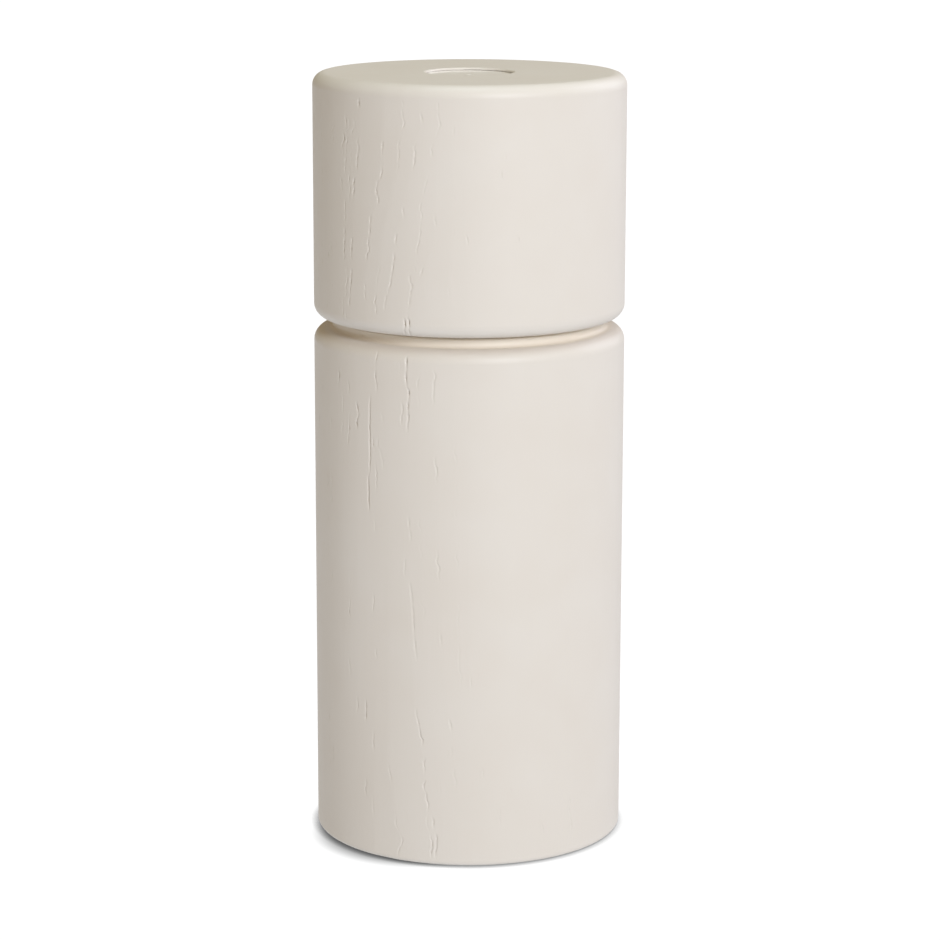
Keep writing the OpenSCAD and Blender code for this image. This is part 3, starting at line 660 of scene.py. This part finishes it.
# Burrs
# The stator, keyed in the housing, and the rotor, driven by the carrier's hexagon, which cut the spice.
# Both are pressed from alumina powder and fired, with their teeth as pressed.
alumina_white = "#f2f0ea"
alumina_grey = "#e4e0d6"
pressing_speck = 0.5
firing_grain = 0.12
firing_high = 0.01

# Fired alumina: a chalky white with faint specks and the dry, fine grain of unglazed ceramic
alumina, tree, place = start_material("fired_alumina")
specks = add_node(tree, "ShaderNodeTexNoise", {
    "Vector": place, "Scale": 1 / (pressing_speck * mm), "Detail": 3.0, "Roughness": 0.7})
colour = add_node(tree, "ShaderNodeMix", {
    0: specks.outputs[0], 6: linear(alumina_white), 7: linear(alumina_grey)}, data_type="RGBA")
grain = add_node(tree, "ShaderNodeTexNoise", {
    "Vector": place, "Scale": 1 / (firing_grain * mm), "Detail": 1.0})
chalky = add_node(tree, "ShaderNodeMapRange", {"Value": specks.outputs[0], "To Min": 0.48, "To Max": 0.62})
bump = add_node(tree, "ShaderNodeBump", {
    "Height": grain.outputs[0], "Distance": firing_high * mm, "Strength": 1.0})
shader = add_node(tree, "ShaderNodeBsdfPrincipled", {
    "Base Color": colour.outputs[2], "Roughness": chalky.outputs[0], "IOR": 1.7, "Normal": bump.outputs[0]})
add_node(tree, "ShaderNodeOutputMaterial", {"Surface": shader.outputs[0]})
dress(alumina, "stator_burr", "rotor_burr")

# Shaft
# A drawn aluminium rod, milled square at both ends, with a threaded stud at its foot.
# It hangs on the clip in the hub and turns with the cap.
rod_bright = "#cdcfd1"
rod_grey = "#b7babd"
die_line = 0.22
die_long = 25.0
die_high = 0.004

# Drawn aluminium: a pale satin metal with straight lines from the die along the rod
aluminium, tree, place = start_material("drawn_aluminium")
die_place = add_node(tree, "ShaderNodeMapping", {
    "Vector": place, "Scale": (1 / (die_line * mm), 1 / (die_line * mm), 1 / (die_long * mm))})
die = add_node(tree, "ShaderNodeTexNoise", {"Vector": die_place.outputs[0], "Scale": 1.0, "Detail": 2.0})
colour = add_node(tree, "ShaderNodeMix", {
    0: die.outputs[0], 6: linear(rod_bright), 7: linear(rod_grey)}, data_type="RGBA")
satin = add_node(tree, "ShaderNodeMapRange", {"Value": die.outputs[0], "To Min": 0.28, "To Max": 0.42})
bump = add_node(tree, "ShaderNodeBump", {
    "Height": die.outputs[0], "Distance": die_high * mm, "Strength": 1.0})
shader = add_node(tree, "ShaderNodeBsdfPrincipled", {
    "Base Color": colour.outputs[2], "Metallic": 1.0, "Roughness": satin.outputs[0],
    "Normal": bump.outputs[0]})
add_node(tree, "ShaderNodeOutputMaterial", {"Surface": shader.outputs[0]})
dress(aluminium, "shaft")

# Grip ring
# A ring of round section in a groove of the shaft, moulded in silicone.
# It is squeezed in the mouth of the drive socket, and so holds the cap on.
silicone_grey = "#7b776f"
silicone_dust = "#8d8981"
dust = 0.6
dust_high = 0.006

# Silicone: a soft grey with no shine, a little paler where dust clings
silicone, tree, place = start_material("moulded_silicone")
cling = add_node(tree, "ShaderNodeTexNoise", {"Vector": place, "Scale": 1 / (dust * mm), "Detail": 3.0})
colour = add_node(tree, "ShaderNodeMix", {
    0: cling.outputs[0], 6: linear(silicone_grey), 7: linear(silicone_dust)}, data_type="RGBA")
soft = add_node(tree, "ShaderNodeMapRange", {"Value": cling.outputs[0], "To Min": 0.62, "To Max": 0.78})
bump = add_node(tree, "ShaderNodeBump", {
    "Height": cling.outputs[0], "Distance": dust_high * mm, "Strength": 1.0})
shader = add_node(tree, "ShaderNodeBsdfPrincipled", {
    "Base Color": colour.outputs[2], "Roughness": soft.outputs[0], "IOR": 1.41, "Normal": bump.outputs[0]})
add_node(tree, "ShaderNodeOutputMaterial", {"Surface": shader.outputs[0]})
dress(silicone, "grip_ring")

# Grind spring
# A compression spring between the hub and the carrier, which presses the rotor down on the dial.
# It is coiled cold from round steel wire, and closes up by the rotor's travel.
spring_low, spring_high = node_box("grind_spring")
wire_d = 0.9
coil_d = 2 * spring_high[0] - wire_d
coil_foot = spring_low[2] + wire_d / 2
coil_head = spring_high[2] - wire_d / 2
coil_turns = 4
turn_steps = 40
wire_sides = 14


def coil(turns, steps, sides):
    """A round wire carried along a helix, and the middles of its two ends: the wire's middle climbs evenly
    from the foot to the head while it goes round, and each ring of points stands across the helix, in the
    plane of the outward and the lifted direction."""
    turn = np.linspace(0, 2 * math.pi * turns, turns * steps + 1)[:, None]
    ring = np.linspace(0, 2 * math.pi, sides, endpoint=False)[None, :]
    climb = (coil_head - coil_foot) / (2 * math.pi * turns)
    slope = math.atan2(climb, coil_d / 2)
    out = coil_d / 2 + wire_d / 2 * np.cos(ring)
    lean = wire_d / 2 * np.sin(ring) * math.sin(slope)
    x = out * np.cos(turn) + lean * np.sin(turn)
    y = out * np.sin(turn) - lean * np.cos(turn)
    z = coil_foot + climb * turn + wire_d / 2 * np.sin(ring) * math.cos(slope)
    end = turn[[0, -1]]
    middles = np.hstack((coil_d / 2 * np.cos(end), coil_d / 2 * np.sin(end), coil_foot + climb * end))
    return np.stack((x, y, z), axis=2), middles


# Spring steel: bright drawn wire, greyer than the plated pieces, with lines along it too fine to see
wire_bright = "#b4b5b6"
wire_grey = "#8f9194"
wire_cloud = 0.8
spring_steel, tree, place = start_material("drawn_spring_steel")
cloud = add_node(tree, "ShaderNodeTexNoise", {
    "Vector": place, "Scale": 1 / (wire_cloud * mm), "Detail": 2.0})
colour = add_node(tree, "ShaderNodeMix", {
    0: cloud.outputs[0], 6: linear(wire_bright), 7: linear(wire_grey)}, data_type="RGBA")
satin = add_node(tree, "ShaderNodeMapRange", {"Value": cloud.outputs[0], "To Min": 0.24, "To Max": 0.38})
shader = add_node(tree, "ShaderNodeBsdfPrincipled", {
    "Base Color": colour.outputs[2], "Metallic": 1.0, "Roughness": satin.outputs[0]})
add_node(tree, "ShaderNodeOutputMaterial", {"Surface": shader.outputs[0]})
spring_grid, spring_ends = coil(coil_turns, turn_steps, wire_sides)
spring = grid_piece("grind_spring_wire", spring_grid, False, spring_ends)
spring.data.materials.append(spring_steel)
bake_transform(spring)
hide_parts("grind_spring")

# Rotor carrier and click washer
# The carrier slides on the shaft's square and lifts the rotor; it is moulded acetal, left as it came out.
# The steel washer under it clicks as the dial turns.
dress(acetal, "rotor_carrier")
dress(zinc_steel, "click_washer")

# Grind dial
# A fluted dial under the foot, moulded in the housing's nylon round a threaded brass insert.
# A washer and a screw in the end of the stud keep it from coming off.
brass_bright = "#c09b52"
brass_dull = "#a58342"
tarnish = 2.0
lathe_mark = 0.14
lathe_long = 8.0
lathe_high = 0.004

# Turned brass: a warm yellow metal with rings from the lathe and a breath of tarnish
brass, tree, place = start_material("turned_brass")
cloud = add_node(tree, "ShaderNodeTexNoise", {"Vector": place, "Scale": 1 / (tarnish * mm), "Detail": 3.0})
colour = add_node(tree, "ShaderNodeMix", {
    0: cloud.outputs[0], 6: linear(brass_bright), 7: linear(brass_dull)}, data_type="RGBA")
mark_place = add_node(tree, "ShaderNodeMapping", {
    "Vector": place,
    "Scale": (1 / (lathe_long * mm), 1 / (lathe_long * mm), 1 / (lathe_mark * mm))})
marks = add_node(tree, "ShaderNodeTexNoise", {"Vector": mark_place.outputs[0], "Scale": 1.0, "Detail": 1.0})
satin = add_node(tree, "ShaderNodeMapRange", {"Value": marks.outputs[0], "To Min": 0.24, "To Max": 0.36})
bump = add_node(tree, "ShaderNodeBump", {
    "Height": marks.outputs[0], "Distance": lathe_high * mm, "Strength": 1.0})
shader = add_node(tree, "ShaderNodeBsdfPrincipled", {
    "Base Color": colour.outputs[2], "Metallic": 1.0, "Roughness": satin.outputs[0],
    "Normal": bump.outputs[0]})
add_node(tree, "ShaderNodeOutputMaterial", {"Surface": shader.outputs[0]})
dress(nylon, "adjuster_dial")
dress(brass, "dial_insert")
dress(zinc_steel, "stop_washer", "stop_screw")

# Drive socket
# A flanged acetal socket screwed up into the cap, with a square hole that turns the shaft.
# It is moulded, and its mouth is round to take the grip ring.
dress(acetal, "drive_socket")
dress(zinc_steel, "socket_screws")

# Cap
# A cylinder of the same ash and paint as the body, cut from the same blank so that the grain runs on.
# It is bored in steps from below for the spigot and the drive socket, and its top has a shallow turned dish.
cap_top = node_box("cap")[1][2]
socket_low, socket_high = node_box("drive_socket")
cap_foot_r = 2.7
cap_top_r = 2.6
cap_wall_step = 0.45
spigot_gap = 0.3
recess_r = spigot_r + spigot_gap
recess_chamfer = 0.8
recess_top = socket_low[2]
socket_flange_t = 3.0
flange_bore_r = socket_high[0] + fit_gap
flange_bore_top = recess_top + socket_flange_t
boss_r = 8.0
boss_bore_r = boss_r + fit_gap
boss_bore_top = socket_high[2] + end_gap
bored_edge_r = 0.2
dish_r = 9.0
dish_depth = 0.8
dish_lip_r = 0.5
dish_corner_r = 0.25
dish_z = cap_top - dish_depth
# Three drilled dots mark the middle of the dish: their radius, depth, ring and the width of their sides.
# Close rows of points stand over them, between the two radii, and a fan closes the middle.
dot_r = 0.55
dot_depth = 0.5
dot_ring_r = 1.5
dot_angle = np.radians((90, 210, 330))
dot_side = 0.1
dot_outer, dot_inner = 2.35, 0.75
dot_step = 0.09
fan_r = 0.3

# From the middle of the bore outwards, down the inside, up the wall and in over the top to the dish
cap_profile, cap_bare = turned_profile((
    (fan_r, boss_bore_top, 0, 1, 4, 1),
    (boss_bore_r, boss_bore_top, 0, 1, 12, 1),
    (boss_bore_r, flange_bore_top, bored_edge_r, 2, 5, 1),
    (flange_bore_r, flange_bore_top, 0, 1, 2, 1),
    (flange_bore_r, recess_top, bored_edge_r, 2, 4, 1),
    (recess_r, recess_top, bored_edge_r, 2, 4, 1),
    (recess_r, cap_z + recess_chamfer, bored_edge_r, 2, 2, 1),
    (recess_r + recess_chamfer, cap_z, bored_edge_r, 2, 2, 0),
    (mill_r, cap_z, cap_foot_r, 8, cap_wall_step, 0),
    (mill_r, cap_top, cap_top_r, 8, 4, 0),
    (dish_r, cap_top, dish_lip_r, 5, 1, 0),
    (dish_r, dish_z, dish_corner_r, 3, 2.2, 0),
    (dot_outer, dish_z, 0, 1, dot_step, 0),
    (dot_inner, dish_z, 0, 1, 0.3, 0),
    (fan_r, dish_z, 0, 1, 1, 0)), closed=False)
cap_grid, cap_sink = turned_grid(cap_profile, cap_bare, closed=False)
dot_x = dot_ring_r * np.cos(dot_angle)
dot_y = dot_ring_r * np.sin(dot_angle)
from_dot = np.hypot(cap_grid[..., :1] - dot_x, cap_grid[..., 1:2] - dot_y).min(axis=2)
in_dish = cap_grid[..., 2] > (boss_bore_top + dish_z) / 2
drilled = np.clip(0.5 + (dot_r - from_dot) / dot_side, 0, 1) * in_dish
cap_grid[..., 2] -= dot_depth * drilled
cap_ends = ((0, 0, boss_bore_top), (0, 0, dish_z))
cap = wooden_piece("turned_cap", cap_grid, cap_sink, cap_bare, False, cap_ends)
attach(cap, "top_cap")
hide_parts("cap")

# Floor and light
# A plain table, pure white to look at, which darkens only where the mill's foot meets it.
# A softbox stands at the front right, a broader one at the back right and one overhead, with a small card
# close by at the lower left and a weak, warm room all round.
floor_half = 3.0
pure_white = "#ffffff"
# How bright the table is to look at, and the light that it gives the mill
floor_white = 1.06
floor_bounce = 0.75
floor_tint = "#fbfdff"
# The foot's dark line: its reach, its darkness, the open shares between which it fades, and the direction it
# looks in, to the right and back, so that it is strongest at the left front
contact_reach = 2.0
contact_dark = 0.3
contact_fade = (0.25, 0.95)
contact_towards = (0.3, 0.5, 0.81)
contact_samples = 8
# The soft crescent of shade at the left front: a disc that shows past the foot there, and where it fades
crescent_middle = (-10.1, -10.1, 0)
crescent_r = (18.5, 24.5)
crescent_dark = 0.38
scene = bpy.context.scene
floor_mesh = bpy.data.meshes.new("floor")
floor_corners = [(x * floor_half, y * floor_half, 0) for x, y in ((-1, -1), (1, -1), (1, 1), (-1, 1))]
floor_mesh.from_pydata(floor_corners, [], [(0, 1, 2, 3)])
floor = bpy.data.objects.new("floor", floor_mesh)
scene.collection.objects.link(floor)

# White table: even and matt, seen only from above, so that the mill can be looked at from below
white_table, tree, place = start_material("white_table")
lean = add_node(tree, "ShaderNodeCombineXYZ", dict(enumerate(contact_towards)))
contact = add_node(tree, "ShaderNodeAmbientOcclusion", {
    "Distance": contact_reach * mm, "Normal": lean.outputs[0]}, samples=contact_samples)
shade = add_node(tree, "ShaderNodeMapRange", {
    "Value": contact.outputs["AO"], "From Min": contact_fade[0], "From Max": contact_fade[1],
    "To Min": contact_dark, "To Max": floor_white})
from_disc = add_node(tree, "ShaderNodeVectorMath", {
    0: place, 1: tuple(c * mm for c in crescent_middle)}, operation="DISTANCE")
crescent = add_node(tree, "ShaderNodeMapRange", {
    "Value": from_disc.outputs["Value"], "From Min": crescent_r[0] * mm, "From Max": crescent_r[1] * mm,
    "To Min": crescent_dark}, interpolation_type="SMOOTHSTEP")
shade = add_node(tree, "ShaderNodeMath", {
    0: shade.outputs[0], 1: crescent.outputs[0]}, operation="MULTIPLY")
glow = add_node(tree, "ShaderNodeEmission", {"Color": linear(pure_white), "Strength": shade.outputs[0]})
bounce = add_node(tree, "ShaderNodeEmission", {"Color": linear(floor_tint), "Strength": floor_bounce})
path = add_node(tree, "ShaderNodeLightPath")
table_top = add_node(tree, "ShaderNodeMixShader", {
    0: path.outputs["Is Camera Ray"], 1: bounce.outputs[0], 2: glow.outputs[0]})
clear = add_node(tree, "ShaderNodeBsdfTransparent")
side = add_node(tree, "ShaderNodeNewGeometry")
one_sided = add_node(tree, "ShaderNodeMixShader", {
    0: side.outputs["Backfacing"], 1: table_top.outputs[0], 2: clear.outputs[0]})
add_node(tree, "ShaderNodeOutputMaterial", {"Surface": one_sided.outputs[0]})
floor_mesh.materials.append(white_table)

# The room is white to look at and gives a weak, warm light
room_white = 1.05
room_light = 0.275
room_warm = "#ffdc97"
world = bpy.data.worlds.new("white_room")
scene.world = world
world.use_nodes = True
world.node_tree.nodes.clear()
dim = add_node(world.node_tree, "ShaderNodeBackground", {
    "Color": linear(room_warm), "Strength": room_light})
white = add_node(world.node_tree, "ShaderNodeBackground", {
    "Color": linear(pure_white), "Strength": room_white})
path = add_node(world.node_tree, "ShaderNodeLightPath")
seen = add_node(world.node_tree, "ShaderNodeMixShader", {
    0: path.outputs["Is Camera Ray"], 1: dim.outputs[0], 2: white.outputs[0]})
add_node(world.node_tree, "ShaderNodeOutputWorld", {"Surface": seen.outputs[0]})

# The lamps: angle to the right of the front and above the horizon, distance from the point that they all aim
# at and width in metres, watts, and colour
lamps = (
    ("softbox_front", 25, 25, 1.3, 0.42, 11.0, "#f2f7ff"),
    ("softbox_right", 125, 24, 1.2, 0.9, 5.9, "#dfe4f6"),
    ("softbox_above", 0, 88, 1.2, 0.5, 4.9, "#e2f8ff"),
    ("card_left", -80, -18, 0.17, 0.05, 0.017, "#eaf1ff"),
)
aim = Vector((0, 0, 0.08))
for name, to_right, above, away, wide, watts, tint in lamps:
    lamp = bpy.data.lights.new(name, "AREA")
    lamp.shape = "DISK"
    lamp.size = wide
    lamp.energy = watts
    lamp.color = linear(tint)[:3]
    turn = math.radians(to_right)
    rise = math.radians(above)
    towards = Vector((math.sin(turn) * math.cos(rise), -math.cos(turn) * math.cos(rise), math.sin(rise)))
    box = bpy.data.objects.new(name, lamp)
    box.location = aim + towards * away
    box.rotation_euler = (-towards).to_track_quat("-Z", "Y").to_euler()
    box.visible_camera = False
    scene.collection.objects.link(box)
scene.view_settings.view_transform = "Standard"

# Camera
# A long lens in front of the mill and a little above it, tilted down to the photograph's viewing angle.
# Its place, in metres, its tilt and its slight roll follow the outlines of the cap, the groove and the foot.
lens_length = 121.43
sensor_width = 36.0
stands_at = (0.0002, -0.6565, 0.2193)
tilt_down = math.radians(12.24)
roll = math.radians(0.108)
camera = bpy.data.objects.new("camera", bpy.data.cameras.new("camera"))
camera.data.lens = lens_length
camera.data.sensor_width = sensor_width
camera.location = stands_at
stand = Matrix.Rotation(math.pi / 2 - tilt_down, 3, "X") @ Matrix.Rotation(roll, 3, "Z")
camera.rotation_euler = stand.to_euler()
scene.collection.objects.link(camera)
scene.camera = camera
